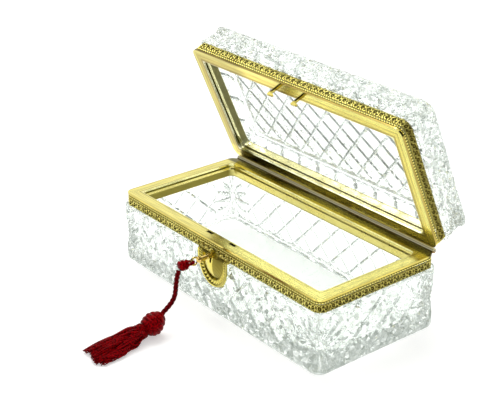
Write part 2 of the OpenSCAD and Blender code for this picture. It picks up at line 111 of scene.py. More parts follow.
def rings_round(routes, radius, sides, closed=False, guide=(1, 0, 0)):
    """A ring of points round each point of one or more routes, in the plane across it: centre + radius times
    (cos a * side + sin a * lift), side being the guide less its share along the route. radius is a number,
    or one for each point of a ring."""
    guide = np.asarray(guide, float)
    along = np.roll(routes, -1, -2) - np.roll(routes, 1, -2) if closed else np.gradient(routes, axis=-2)
    along /= np.linalg.norm(along, axis=-1, keepdims=True)
    side = guide - (along @ guide)[..., None] * along
    side /= np.linalg.norm(side, axis=-1, keepdims=True)
    a = 2 * np.pi * np.arange(sides)[:, None] / sides
    out = np.cos(a) * side[..., None, :] + np.sin(a) * np.cross(along, side)[..., None, :]
    return routes[..., None, :] + np.asarray(radius, float)[..., None] * out


def tube(route, radius, sides, closed=False, guide=(1, 0, 0)):
    """A route's rings joined into a skin, with flat ends where the route isn't closed."""
    faces = grid_faces(len(route), sides, True, 0, closed) + ([] if closed else ends(len(route), sides))
    return rings_round(route, radius, sides, closed, guide).reshape(-1, 3), faces


def feed(made, inputs):
    """Gives a shader node its inputs, by name or number: a value is set, another node's output is linked."""
    for socket, value in inputs.items():
        if isinstance(value, bpy.types.NodeSocket):
            made.id_data.links.new(value, made.inputs[socket])
        else:
            made.inputs[socket].default_value = value
    return made.outputs


def node(tree, kind, inputs, **settings):
    """A new shader node with its settings and inputs, as its outputs."""
    made = tree.nodes.new("ShaderNode" + kind)
    for setting, value in settings.items():
        setattr(made, setting, value)
    return feed(made, inputs)


def ramp(tree, at, stops):
    """The colour that a ramp of (place, colour) stops has at a socket's value."""
    made = tree.nodes.new("ShaderNodeValToRGB")
    elements = made.color_ramp.elements
    while len(elements) < len(stops):
        elements.new(0.5)
    for stop, (place, colour) in zip(elements, stops):
        stop.position, stop.color = place, (*colour, 1)
    return feed(made, {"Fac": at})["Color"]


def principled(name, colour, roughness, inputs):
    """A material with one Principled shader, as its node tree, its shader node and the material."""
    material = bpy.data.materials.new(name)
    material.use_nodes = True
    shader = material.node_tree.nodes["Principled BSDF"]
    feed(shader, {"Base Color": (*colour, 1), "Roughness": roughness, **inputs})
    return material.node_tree, shader, material


def silk(name, colour, dark):
    """Silk thread: a crimson that darkens in streaks, with a soft red gloss."""
    tree, shader, material = principled(name, colour, 0.45,
                                        {"Specular Tint": (1, 0.1, 0.1, 1), "Specular IOR Level": 0.12})
    place = node(tree, "TexCoord", {})["Object"]
    streaks = node(tree, "TexNoise", {"Vector": place, "Scale": 900, "Detail": 4})["Fac"]
    feed(shader, {"Base Color": ramp(tree, streaks, ((0.38, dark), (0.62, colour)))})
    return material


crimson = silk("crimson_silk", (0.38, 0.001, 0.004), (0.05, 0.0, 0.001))
# The cord wears a darker copy of the same silk: painted shade.
crimson_in_painted_shade = silk("silk_in_painted_shade", (0.22, 0.0006, 0.003), (0.03, 0.0, 0.0006))
ply_turn = 2 * np.pi * np.linspace(0, 1, cord_rings)[:, None] * cord_run / ply_lay
cord_lobe = np.abs(np.cos(1.5 * (2 * np.pi * np.arange(cord_sides) / cord_sides - ply_turn)))
cord_radius = 1.15 + 0.48 * cord_lobe ** 0.8
tassel_cord = new_piece("silk_cord", *tube(resampled(cord_route, cord_rings), cord_radius, cord_sides),
                        "tassel", "silk", crimson_in_painted_shade, "tassel_cord")

# --- Tassel head, collar and skirt --------------------------------------------
# A wooden mould wound with silk, a binding of a few turns, and a skirt of loose
# silk threads that lie spread on the surface in twisted locks.
head_centre = np.array([0, -95, 8.5])
skirt_dip, head_tilt = math.radians(14), math.radians(30)
random = np.random.default_rng(7)


def lathe(profile, sides, centre, axis, up_way, bump=0.0, ribs=0, slant=0.0):
    """A profile of (distance along the axis, radius) turned about it. Each radius gains bump times
    the cosine of ribs times the angle, which turns by slant per millimetre."""
    profile, centre, axis, up_way = (np.asarray(v, float) for v in (profile, centre, axis, up_way))
    a = 2 * np.pi * np.arange(sides) / sides
    across = np.cross(axis, up_way)
    r = profile[:, 1:2] + bump * np.cos(ribs * (a + slant * profile[:, :1])) * (profile[:, 1:2] > 0.01)
    out = np.cos(a)[:, None] * up_way + np.sin(a)[:, None] * across
    points = centre + profile[:, None, :1] * axis + r[..., None] * out
    faces = [f[::-1] for f in grid_faces(len(profile), sides, True)] + ends(len(profile), sides)
    return points.reshape(-1, 3), faces


def sloping(angle):
    """The way out from the front that dips by an angle, and the way up across it."""
    return [0, -math.cos(angle), -math.sin(angle)], [0, -math.sin(angle), math.cos(angle)]


turn = np.linspace(0, np.pi, 150)
winding = 0.6 * np.abs(np.sin(8 * turn)) * np.sin(turn) ** 0.5
head_profile = np.stack([-8.3 * np.cos(turn) - 0.5 * np.abs(np.cos(turn)),
                         np.sin(turn) * (6.7 - 0.75 * np.cos(turn) + winding) + 0.02], 1)
tassel_head = new_piece("wound_head", *lathe(head_profile, 64, head_centre, *sloping(head_tilt), 0.12, 3, 0.25),
                        "tassel", "silk", crimson, "tassel_head")
neck = np.linspace(0, 1, 60)
collar_profile = np.stack([7.2 + 4.2 * neck,
                           4.7 + 0.45 * np.abs(np.sin(5 * np.pi * neck)) - 0.5 * (2 * neck - 1) ** 6], 1)
tassel_collar = new_piece("binding", *lathe(collar_profile, 48, head_centre, *sloping(skirt_dip)),
                          "tassel", "silk", crimson, "tassel_collar")


def thread_bundle(count, steps, sides):
    """Threads from the binding to the skirt's ragged end. Each keeps its place in a lock of threads,
    the lock's line swings by a sine across the run, and the place in the lock turns with it."""
    s = np.linspace(0, 1, steps)[None, :]
    locks, table = 13, 0.5
    lock = random.integers(0, locks, count)
    lock_at, lock_level, phase = (of_locks[lock][:, None] for of_locks in (
        np.linspace(-1, 1, locks)[random.permutation(locks)], random.uniform(0.15, 1, locks),
        random.uniform(0, 2 * np.pi, locks)))
    inner = random.uniform(0, 2 * np.pi, count)[:, None] + 5.0 * s
    inner_r = 2.1 * np.sqrt(random.uniform(0, 1, count))[:, None]
    length = 34.8 + random.uniform(-4.5, 0.8, count)[:, None] + 1.5 * np.sin(3 * lock_at)
    half_width = 5.0 + 4.8 * np.clip((s - 0.05) / 0.95, 0, 1) ** 0.65
    swing = np.sin(2 * np.pi * (s * 0.9) + phase) * np.sin(np.pi * s) ** 0.7
    x = lock_at * (half_width - 1.2) + swing + inner_r * np.cos(inner) * (0.9 + 0.25 * s)
    top = 10.1 - 8.2 * s + 1.0 * np.sin(np.pi * s)
    crown = np.sqrt(np.clip(1 - (x / (half_width + 1.6)) ** 2, 0.03, 1))
    z = 0.55 + (top * lock_level + 0.6) * crown + inner_r * np.sin(inner) * 0.75
    start_z = head_centre[2] - 9.9 * math.sin(skirt_dip) + 3.9 * (2 * lock_level - 1) * 0.8
    ease = np.clip(s / 0.22, 0, 1)
    ease = ease ** 2 * (3 - 2 * ease)
    z = np.maximum(start_z * (1 - ease) + z * ease, table)
    rings = rings_round(np.stack([x, -104.6 - length * s, z], -1), 0.5 * (1 - 0.35 * s.T ** 3), sides)
    one = grid_faces(steps, sides, True) + ends(steps, sides)
    return rings.reshape(-1, 3), [[v + i * steps * sides for v in f] for i in range(count) for f in one]


tassel_skirt = new_piece("thread_skirt", *thread_bundle(330, 26, 5), "tassel", "silk", crimson, "tassel_skirt")

# --- Knot at the bow ----------------------------------------------------------
# The cord is looped through the key's bow and wound twice behind it.
key_z = 41.0
knot_turn = np.linspace(0, 1, 120)
knot_angle = 2 * np.pi * 2.2 * knot_turn
knot_route = np.stack([2.2 * np.sin(knot_angle), -68.6 - 4.9 * knot_turn, key_z + 2.2 * np.cos(knot_angle)], 1)
loop_angle = 2 * np.pi * np.arange(60) / 60
loop_route = np.stack([1.9 * np.sin(loop_angle), -66.25 + 3.2 * np.cos(loop_angle), np.full(60, key_z)], 1)
ply_angle = 2 * np.pi * np.arange(10) / 10
knot_lobe = np.abs(np.cos(1.5 * (ply_angle - 2 * np.pi * knot_turn[:, None] * 5)))
loop_lobe = np.abs(np.cos(1.5 * (ply_angle - loop_angle[:, None] * 4)))
core_profile = np.stack([-3.1 * np.cos(turn[::6]), 2.5 * np.sin(turn[::6]) + 0.01], 1)


def joined(*parts):
    """Several (points, faces) as one, each part's faces shifted past the points before it."""
    points, faces, first = [], [], 0
    for some_points, some_faces in parts:
        points.append(some_points)
        faces += [[v + first for v in f] for f in some_faces]
        first += len(some_points)
    return np.concatenate(points), faces


new_piece("bow_knot", *joined(tube(knot_route, 1.0 + 0.3 * knot_lobe, 10, guide=(0, 1, 0)),
                              lathe(core_profile, 20, (0, -71.0, key_z), *sloping(0.0)),
                              tube(loop_route, 0.75 + 0.22 * loop_lobe, 10, closed=True, guide=(0, 0, 1))),
          "key", "silk", crimson, "key_loop")

# --- Crystal ------------------------------------------------------------------
# Base and lid are pressed troughs of lead crystal, then cut by hand: crossing mitre
# cuts leave diamonds, a star of leaf cuts turns each corner, and the inside is polished.
half_x, half_y, base_height, lid_height = 94.0, 41.5, 50.0, 27.0
proud_r, foot_r, rim_r = 8.0, 2.5, 3.4
well_x, well_y, well_r, cove_r, floor_z = 88.0, 35.5, 4.0, 4.5, 8.0
hinge_y, hinge_z, lid_lift, lid_swing = 49.5, 50.1, 50.2, 67
shield_half, shield_top, shield_spring, shield_drop = 15.0, 44.4, 37.4, 18.5
cuts_x, cuts_y, cuts_arc = 200, 80, 14
cut_depth, star_depth, plain_corner, node_row = 1.2, 1.9, 14.0, 18.0


def quarter(q):
    """The turn that carries the front side's plan to side q of the mount."""
    c, s = math.cos(q * np.pi / 2), math.sin(q * np.pi / 2)
    return np.array([[c, -s], [s, c]])


def round_the_mount(per_side, steps, half=(half_x, half_y)):
    """Stations round the mount's plan, in equal steps along each side and each corner: the core point that
    a radius is added to, the unit way outward, and the running motif number."""
    points, ways, runs, passed = [], [], [], 0
    for q in range(4):
        length, depth = (half, half[::-1])[q % 2]
        for corner in (False, True):
            motifs = per_side[(2 * q + corner) % 4]
            share = np.arange(motifs * steps) / (motifs * steps)
            if corner:
                flat = np.tile([[length, -depth]], (len(share), 1))
                way = np.stack([np.sin(share * np.pi / 2), -np.cos(share * np.pi / 2)], 1)
            else:
                flat = np.stack([(2 * share - 1) * length, np.full(len(share), -depth)], 1)
                way = np.tile([[0.0, -1.0]], (len(share), 1))
            points.append(flat @ quarter(q).T)
            ways.append(way @ quarter(q).T)
            runs.append(passed + share * motifs)
            passed += motifs
    return np.concatenate(points), np.concatenate(ways), np.concatenate(runs)


def ring(core_x, core_y, radius):
    """The cut wall's columns on a rounded rectangle, from the front's left end, and their ways outward."""
    core, ways, _ = round_the_mount((cuts_x, cuts_arc, cuts_y, cuts_arc), 1, (core_x, core_y))
    core, ways = np.roll(core, -1, 0), np.roll(ways, -1, 0)
    return core + ways * radius, ways


def unrolled():
    """For each column of the cut wall: its step along the side's lattice, the middle being 0, whether the lattice
    is cut there, and its distance in millimetres from the middle of the nearest corner, measured round the wall."""
    arc_mm = proud_r * np.pi / 2
    steps, cut, reach = [], [], []
    for count, half in ((cuts_x, half_x), (cuts_y, half_y)) * 2:
        i = np.arange(1, count) - count / 2
        x = i / count * 2 * half
        near = half - np.abs(x) + arc_mm / 2
        steps += [i, np.zeros(cuts_arc + 1)]
        cut += [np.abs(x) < half - plain_corner, np.zeros(cuts_arc + 1, bool)]
        reach += [np.where(x > 0, -near, near), (np.arange(cuts_arc + 1) / cuts_arc - 0.5) * arc_mm]
    return np.concatenate(steps), np.concatenate(cut), np.concatenate(reach)


def lattice(i, k):
    """Depth of two families of mitre cuts that cross every 20 steps: a V two steps deep on each side of a line."""
    across = np.minimum(np.abs((i + k + 10) % 20 - 10), np.abs((i - k + 10) % 20 - 10))
    return cut_depth * np.clip(1 - across / 2, 0, 1)


def star(s, z, reach, rays=16):
    """Depth of leaf-shaped V cuts that run out from one point, widest half way along."""
    depth = np.zeros(np.broadcast(s, z).shape)
    for a in 2 * np.pi * np.arange(rays) / rays:
        along = (s * math.sin(a) + z * math.cos(a)) / reach
        across = np.abs(s * math.cos(a) - z * math.sin(a))
        leaf = 1.75 * np.sin(np.pi * np.clip(along, 0, 1)) ** 0.75
        depth = np.maximum(depth, star_depth * np.clip(1 - across / np.maximum(leaf, 1e-3), 0, 1) * (leaf > 0.05))
    return depth


def within_shield(x, z, beyond):
    """Whether a point of the front lies within the shield's outline, widened by so many millimetres."""
    foot = (x / (shield_half + beyond)) ** 2 + (np.minimum(z - shield_spring, 0) / (shield_drop + beyond)) ** 2 < 1
    return foot & (z < shield_top + beyond)


def trough(height, star_z, reach, lock, crown_cut):
    """The trough's skin, foot at z = 0: rounded foot edge, cut wall as a grid with a point in each cell's
    middle, shoulder and bare rim, polished inner wall, cove and floor. Rings of equal length are joined.
    The last value tells for each point how far its surface is ground into facets."""
    band, rim_gap, wall_z = 9.0, 2.0, 3.0
    plain_field, seat_play, seat_depth = 4.0, 1.5, 5.0
    outline, ways = ring(half_x, half_y, proud_r)
    columns = len(outline)
    i, cut, s = unrolled()
    on_front = (ways[:, 1] < -0.999) & (np.abs(outline[:, 0]) < half_x)
    front = on_front & lock
    wall_top = height - band
    rows = int(round(wall_top - wall_z)) + 1
    k = wall_z - node_row + np.arange(rows)[:, None]
    x = outline[:, 0]
    j = np.roll(np.arange(columns), -1)

    def wall_depth(i, cut, s, k, x):
        """How far the cut wall lies behind its uncut face: lattice, corner star, and at the lock a plain field
        with the sunk seat of the escutcheon in it."""
        z = node_row + k
        carved = np.maximum(lattice(i, k) * cut, star(s, z - star_z, reach))
        carved = carved * ~(front & within_shield(x, z, plain_field))
        return np.maximum(carved, seat_depth * (front & within_shield(x, z, seat_play)))

    def level(flat, heights):
        """A ring of the plan lifted to one height, or to one for each point."""
        return np.concatenate([flat, np.broadcast_to(np.reshape(heights, (-1, 1)), (columns, 1))], 1)

    def strip(low, high):
        """Quads between two rings, told by the number of their first points."""
        here = np.arange(columns)
        return np.stack([low + here, low + j, high + j, high + here], 1).tolist()

    depth = wall_depth(i, cut, s, k, x)
    depth[0] = 0
    rise = np.broadcast_to((node_row + k)[..., None], (rows, columns, 1))
    grid = np.concatenate([outline - ways * depth[..., None], rise], 2)
    middle = (grid[:-1] + grid[1:] + grid[:-1][:, j] + grid[1:][:, j]) / 4
    arc_step = proud_r * np.pi / 4
    half_s = np.where(np.abs(s) > arc_step, half_x / cuts_x, arc_step / cuts_arc)
    mid_depth = wall_depth(i + 0.5, cut & cut[j], s + half_s, k[:-1] + 0.5, (x + x[j]) / 2)
    mean_depth = (depth[:-1] + depth[1:] + depth[:-1][:, j] + depth[1:][:, j]) / 4
    middle[..., :2] += ways * ((mean_depth - mid_depth) * cut)[..., None]
    row = np.arange(rows - 1)[:, None] * columns
    low_left, low_right = row + np.arange(columns), row + j
    faces = four_triangles(low_left, low_right, low_right + columns, low_left + columns, rows * columns + low_left)
    first_foot = (2 * rows - 1) * columns
    foot = [level(ring(half_x, half_y, proud_r - foot_r * (1 - np.cos(t)))[0], foot_r * (1 - np.sin(t)))
            for t in np.linspace(0, np.pi / 2, 7)[:0:-1]] + [level(outline, foot_r)]
    faces += grid_faces(len(foot), columns, True, first_foot)
    top_foot = first_foot + (len(foot) - 1) * columns
    faces += strip(top_foot, 0)
    notch = np.full(columns, height - rim_gap)
    if lock:
        for half_width, sill in ((22.2, 40.4), (6.9, 34.5)):
            notch = np.where(on_front & (np.abs(x) < half_width), sill, notch)
    rim_out = ring(half_x, half_y, rim_r)[0]
    rim_in = ring(well_x, well_y, well_r)[0]
    rings = [level(rim_out, np.minimum(notch, wall_top)), level(rim_out, notch), level(rim_in, notch)]
    for t in np.linspace(0, np.pi / 2, 8):
        inward = cove_r * (1 - np.cos(t))
        rings.append(level(ring(well_x - inward, well_y - inward, well_r)[0], floor_z + cove_r * (1 - np.sin(t))))
    first_rim = top_foot + columns
    faces += strip((rows - 1) * columns, first_rim)
    faces += grid_faces(len(rings), columns, True, first_rim)
    faces.append((first_rim + (len(rings) - 1) * columns + np.arange(columns)).tolist())
    points = np.concatenate([grid.reshape(-1, 3), middle.reshape(-1, 3), *foot, *rings])
    ground = np.where(np.arange(len(points)) < first_rim, 1.0, 0.08)
    ground[first_foot:first_foot + columns] = 0.25
    if not crown_cut:
        faces.append((first_foot + np.arange(columns))[::-1].tolist())
        return points, faces, ground
    crown_points, crown_faces = crown(first_foot, len(points))
    return (np.concatenate([points, crown_points]), faces + crown_faces,
            np.concatenate([ground, np.full(len(crown_points), 0.8)]))


def four_triangles(a, b, c, d, middle):
    """Each cell a b c d of a grid as four triangles that meet in its middle point."""
    tris = [np.stack(t, -1).reshape(-1, 3) for t in ((a, b, middle), (b, c, middle), (c, d, middle), (d, a, middle))]
    return np.concatenate(tris).tolist()


def crown(edge_first, first):
    """The flat foot with the same lattice cut into it: a grid with a point in each cell's middle, joined
    to the ring of points at its edge by a strip along each side and a fan in each corner."""
    nx, ny = cuts_x + 1, cuts_y + 1

    def placed(i, k):
        return np.stack([i / (cuts_x / 2) * half_x, k / (cuts_y / 2) * half_y, lattice(i, k + 10)], -1)

    i, k = np.meshgrid(np.arange(nx) - cuts_x / 2, np.arange(ny) - cuts_y / 2)
    points = np.concatenate([placed(i, k).reshape(-1, 3), placed(i[1:, 1:] - 0.5, k[1:, 1:] - 0.5).reshape(-1, 3)])
    a = first + np.arange(ny - 1)[:, None] * nx + np.arange(nx - 1)
    centre = first + nx * ny + np.arange((nx - 1) * (ny - 1)).reshape(ny - 1, nx - 1)
    faces = four_triangles(a + 1, a, a + nx, a + nx + 1, centre)
    corner = cuts_arc + 1
    total = 2 * (cuts_x + cuts_y - 2) + 4 * corner
    across, deep = np.arange(nx), np.arange(ny) * nx
    borders = (across, deep + nx - 1, across[::-1] + (ny - 1) * nx, deep[::-1])
    at = 0
    for border in borders:
        border = first + border
        count = len(border) - 2
        outer = edge_first + np.concatenate([[(at - 1) % total], at + np.arange(count + 1)])
        faces += np.stack([border[1:], border[:-1], outer[:-1], outer[1:]], 1)[:, ::-1].tolist()
        arc = edge_first + at + count + np.arange(corner)
        faces += np.stack([arc[1:], arc[:-1], np.full(corner - 1, border[-1])], 1).tolist()
        at += count + corner
    return points, faces


def step(tree, operation, *values, **settings):
    """The result of one Math step on numbers or sockets."""
    return node(tree, "Math", dict(enumerate(values)), operation=operation, **settings)[0]


def vector_step(tree, operation, *values, out="Vector", **scale):
    """The result of one Vector Math step on vectors or sockets."""
    return node(tree, "VectorMath", {**dict(enumerate(values)), **scale}, operation=operation)[out]


def mixed(tree, factor, a, b):
    """The colour from a to b that a socket's value asks for."""
    return node(tree, "Mix", {"Factor": factor, "A": a, "B": b}, data_type="RGBA")["Result"]


def lead_crystal():
    """Clear lead crystal, faintly green where light goes far in it. Small flat facets, one plane with a random tilt
    to each Voronoi cell, cover what is ground: the height is (place - cell's middle) . (cell's random - 0.5).
    A few of them are painted dark grey, painted shade for light turned away inside. Lamps and the surface's own
    light pass straight through, and a faint glow, painted light, stands for the light that keeps going round inside."""
    clear_tone, inside_share = (0.95, 0.98, 0.96), 0.2
    # The faint emission is a painted glow: painted light.
    tree, shader, material = principled("lead_crystal", clear_tone, 0.0, {
        "Transmission Weight": 1.0, "IOR": 1.5, "Alpha": 0.95, "Emission Color": (0.86, 1.0, 0.88, 1),
        "Emission Strength": 0.055})
    place = node(tree, "TexCoord", {})["Object"]
    cells = node(tree, "TexVoronoi", {"Vector": place, "Scale": 400})
    ground = node(tree, "Attribute", {}, attribute_name="ground")["Fac"]
    from_inside = node(tree, "NewGeometry", {})["Backfacing"]
    share = step(tree, "MULTIPLY", step(tree, "MULTIPLY_ADD", from_inside, inside_share - 1, 1.0), ground)
    off = vector_step(tree, "SUBTRACT", place, cells["Position"])
    tilt = vector_step(tree, "SUBTRACT", cells["Color"], (0.5, 0.5, 0.5))
    height = step(tree, "MULTIPLY", vector_step(tree, "DOT_PRODUCT", off, tilt, out="Value"), share)
    facets = node(tree, "Bump", {"Strength": 1.0, "Distance": 0.8, "Height": height})["Normal"]
    # Cells with a low random red are painted dark grey: painted shade.
    chance = node(tree, "SeparateColor", {"Color": cells["Color"]})["Red"]
    tone = ramp(tree, chance, ((0.1, (0.45, 0.48, 0.45)), (0.36, (0.97, 0.99, 0.975))))
    feed(shader, {"Normal": facets, "Base Color": mixed(tree, share, (*clear_tone, 1), tone)})
    ray = node(tree, "LightPath", {})
    straight = step(tree, "MAXIMUM", ray["Is Shadow Ray"], ray["Is Diffuse Ray"])
    clear = node(tree, "BsdfTransparent", {"Color": (0.96, 0.97, 0.965, 1)})["BSDF"]
    skin = node(tree, "MixShader", {"Fac": straight, 1: shader.outputs["BSDF"], 2: clear})["Shader"]
    feed(tree.nodes["Material Output"], {"Surface": skin})
    return material


def at_rest(points, body):
    """Points where they rest: the lid's are made shut, and are swung open about the hinge line."""
    if body != "lid":
        return points
    a = math.radians(lid_swing)
    y, z = points[:, 1] - hinge_y, points[:, 2] - hinge_z
    return np.stack([points[:, 0], hinge_y + math.cos(a) * y + math.sin(a) * z,
                     hinge_z - math.sin(a) * y + math.cos(a) * z], 1)


crystal = lead_crystal()
base_points, base_faces, base_ground = trough(base_height, 20.0, 21.0, True, False)
new_piece("base_trough", base_points, base_faces, "base", "crystal", crystal, "base_crystal", 17, ground=base_ground)
lid_points, lid_faces, lid_ground = trough(lid_height, 9.0, 13.0, False, True)
lid_points[:, 2] = lid_lift + lid_height - lid_points[:, 2]
new_piece("lid_trough", at_rest(lid_points, "lid"), [f[::-1] for f in lid_faces], "lid", "crystal", crystal,
          "lid_crystal", 17, ground=lid_ground)

# --- Gilt frames --------------------------------------------------------------
# Flat frames of gilt brass close the two rims. They are polished by hand, with fine
# marks along their strips. Their colour is painted in bands along the strips, pale painted highlights and dark lines
# of painted shade. The base's back strip and the lid's left end are painted darker as shade, the lid's back strip is
# painted brighter as light, and the arrises are bevelled.
gold, deep_gold, painted_shade_umber = (0.97, 0.87, 0.25), (0.82, 0.72, 0.16), (0.13, 0.1, 0.01)
frame_x, frame_y, strip_width = 100.0, 47.5, 8.6


def ranged(tree, value, start, end, low=0.0, high=1.0, **settings):
    """A socket's value carried from start..end to low..high, and held there beyond."""
    inputs = {"Value": value, "From Min": start, "From Max": end, "To Min": low, "To Max": high}
    return node(tree, "MapRange", inputs, **settings)["Result"]


def gilding(name, colour, roughness):
    """Gilt brass: the colour drifts a little, and fine marks change the gloss and the surface."""
    tree, shader, material = principled(name, colour, roughness, {"Metallic": 1.0})
    place = node(tree, "TexCoord", {})["Object"]
    drift = node(tree, "TexNoise", {"Vector": place, "Scale": 60, "Detail": 3})["Fac"]
    fine = node(tree, "TexNoise", {"Vector": place, "Scale": 3000, "Detail": 2})["Fac"]
    deeper = (colour[0] * 0.9, colour[1] * 0.86, colour[2] * 0.75)
    feed(shader, {
        "Base Color": ramp(tree, drift, ((0.35, deeper), (0.65, colour))),
        "Roughness": ranged(tree, drift, 0, 1, roughness * 0.6, roughness * 1.5),
        "Normal": node(tree, "Bump", {"Strength": 0.25, "Distance": 0.02 * MM, "Height": fine})["Normal"]})
    return material


def opened(material, *names):
    """A material's node tree, its Principled shader, and the sockets that now feed the named inputs."""
    shader = material.node_tree.nodes["Principled BSDF"]
    return material.node_tree, shader, *(shader.inputs[name].links[0].from_socket for name in names)


def shaded(material, dark):
    """The material's colour drops to the dark tone, painted shade, and its gloss goes, where the piece's gloss and
    painted light attribute falls to 0.
    """
    tree, shader, colour, gloss = opened(material, "Base Color", "Roughness")
    polish = node(tree, "Attribute", {}, attribute_name="polish")["Fac"]
    feed(shader, {"Base Color": mixed(tree, polish, (*dark, 1), colour),
                  "Roughness": step(tree, "ADD", gloss, ranged(tree, polish, 0, 1, 0.6, 0.0), use_clamp=True)})
    return material


def strip_gilding(name, across, swing, painted_light_zones):
    """Gilt brass of a flat frame. The colour goes by bands of painted highlight and painted shade that follow its
    strips:
    the place across a strip is max(|x| - 100, |y| - 47.5) mm, taken after turning the frame back by its swing. Marks
    of polishing run along the strips. Each zone (axis, from, to, share) brings the colour to a share of itself along
    an
    axis: painted shade where the share is below 1, painted light where it is above."""
    material = gilding(name, gold, 0.16)
    tree, shader = opened(material)
    place = node(tree, "TexCoord", {})["Object"]
    shut = node(tree, "VectorRotate", {"Vector": place, "Center": (0, hinge_y * MM, hinge_z * MM),
                                       "Angle": math.radians(swing)}, rotation_type="X_AXIS")["Vector"]
    axes = node(tree, "SeparateXYZ", {"Vector": shut})
    past = vector_step(tree, "SUBTRACT", vector_step(tree, "ABSOLUTE", shut), (frame_x * MM, frame_y * MM, 0))
    sides = node(tree, "SeparateXYZ", {"Vector": past})
    edge = step(tree, "MAXIMUM", sides["X"], sides["Y"])
    slow = node(tree, "SeparateXYZ", {"Vector": vector_step(tree, "SCALE", shut, Scale=0.03)})
    along = node(tree, "CombineXYZ", {"X": edge, "Y": slow["X"], "Z": slow["Y"]})["Vector"]
    marks = node(tree, "TexNoise", {"Vector": along, "Scale": 1600, "Detail": 3})["Fac"]
    level = ranged(tree, marks, 0.35, 0.6, 0.72, 1.04)
    for axis, start, end, share in painted_light_zones:
        painted_light_zone = ranged(tree, axes[axis], start * MM, end * MM, 1.0, share, interpolation_type="SMOOTHSTEP")
        level = step(tree, "MULTIPLY", painted_light_zone, level, use_clamp=True)
    painted_light_bands = ramp(tree, ranged(tree, edge, -strip_width * MM, 0), across)
    feed(shader, {"Base Color": vector_step(tree, "SCALE", painted_light_bands, Scale=level)})
    return material


def dress(node_name, material, bevel=0.0):
    """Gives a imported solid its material, and breaks its sharp edges by a bevel of that width in millimetres."""
    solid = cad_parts[node_name]
    solid.data.materials.clear()
    solid.data.materials.append(material)
    if bevel:
        arris = solid.modifiers.new("arris", "BEVEL")
        arris.width = bevel * MM
        arris.segments = 2
        arris.limit_method = "ANGLE"
        arris.angle_limit = math.radians(40)


# Bands across a strip from its inner edge: pale painted highlights and dark lines of painted shade among the gold.
base_painted_light_bands = ((0, (1.0, 0.93, 0.42)), (0.07, (0.99, 0.88, 0.3)), (0.13, (0.5, 0.42, 0.08)),
              (0.2, (0.97, 0.87, 0.27)), (0.82, (0.97, 0.86, 0.25)), (1, (0.72, 0.6, 0.14)))
lid_painted_light_bands = ((0, (1.0, 0.96, 0.6)), (0.06, (0.6, 0.45, 0.09)), (0.16, (0.5, 0.36, 0.06)), (0.3, (0.95, 0.8, 0.2)),
             (0.52, (0.82, 0.65, 0.14)), (0.7, (1.0, 0.88, 0.24)), (0.94, (0.95, 0.83, 0.24)),
             (1, (0.45, 0.34, 0.08)))
# The zones paint the base's back strip by the hinge dark and the lid's left end darker, as shade, and the lid's back
# strip brighter, as light.
base_gilt = strip_gilding("base_frame_gilt", base_painted_light_bands, 0, (("Y", 39.5, 42.5, 0.2),))
lid_gilt = strip_gilding("lid_frame_gilt", lid_painted_light_bands, lid_swing, (("X", -38, -54, 0.64), ("Y", 36, 39, 1.4)))
dress("base_flange", base_gilt, 0.2)
dress("lid_flange", lid_gilt, 0.4)

# --- Rope moulding ------------------------------------------------------------
# A cast half-round of slanting beads runs round each mount under the flange's edge.
side_beads, rope_inset = (90, 5, 40, 5), 4.8
# The moulding's crevices go to dark umber: painted shade.
rope_gilt = shaded(gilding("moulding_gilt", gold, 0.2), painted_shade_umber)


def mount_sweep(core, ways, out, height, way_up=1):
    """A closed skin round the mount: the point of row m at station n lies out[n, m] millimetres from the core along
    the outward way, at height[n, m]. The rows go round the section, from inside over the outside, upward, or
    downward where way_up is -1."""
    points = np.concatenate([core[:, None] + ways[:, None] * out[..., None], height[..., None]], 2)
    stations, rows = out.shape
    n, m = np.arange(stations)[:, None], np.arange(rows)
    here, there, next_row = n * rows, (n + 1) % stations * rows, (m + 1) % rows
    quads = np.stack([here + m, there + m, there + next_row, here + next_row], -1).reshape(-1, 4)
    return points.reshape(-1, 3), quads[:, ::way_up].tolist()


def rope(axis_z):
    """A half-round rod whose radius rises and falls along the run, the crest slanting round the section:
    0.62 + 0.52 |cos(pi (run + 0.16 angle))|. Its crevices are painted dark: painted shade."""
    core, ways, run = round_the_mount(side_beads, 8)
    a = 2 * np.pi * np.arange(10) / 10
    crest = np.abs(np.cos(np.pi * (run[:, None] + 0.16 * a)))
    radius = 0.62 + 0.52 * crest
    points, faces = mount_sweep(core, ways, rope_inset - radius * np.cos(a), axis_z - radius * np.sin(a))
    return points, faces, np.clip(2.2 * crest - 0.35, 0, 1).reshape(-1)


def mounted(body, kind, skin, material, node_name):
    """A gilt piece that runs round a body's mount, from its points, faces and each point's gloss and painted light.
    """
    points, faces, polish = skin
    new_piece(f"{body}_{kind}", at_rest(points, body), faces, body, "gilt", material, f"{body}_{node_name}",
              polish=polish)


for body, axis_z in (("base", 47.6), ("lid", 52.6)):
    mounted(body, "rope_moulding", rope(axis_z), rope_gilt, "beading")

# --- Liners -------------------------------------------------------------------
# Thin strips soldered inside the openings hide the crystal's bare edge. A flat bead
# is rolled into them near the frame and the lower edge is turned over. The bead and the edge are painted as
# highlights, the band above the bead is painted dark as shade, and the strip by the hinge is painted bright as light.
# Each body's colour, roughness, and the dark tone that painted shade brings the strip to.
liner_tones = {"base": ((0.98, 0.86, 0.32), 0.2, (0.42, 0.35, 0.05)),
               "lid": ((1.0, 0.95, 0.55), 0.12, (0.1, 0.085, 0.006))}
liner_inset, liner_back, liner_face, liner_depth = 6.6, 4.5, 4.0, 8.0


def half_ellipse(depth, centre, half_width):
    """1 at the centre, falling as a half ellipse to 0 at each side."""
    return np.sqrt(np.clip(1 - ((depth - centre) / half_width) ** 2, 0, 1))


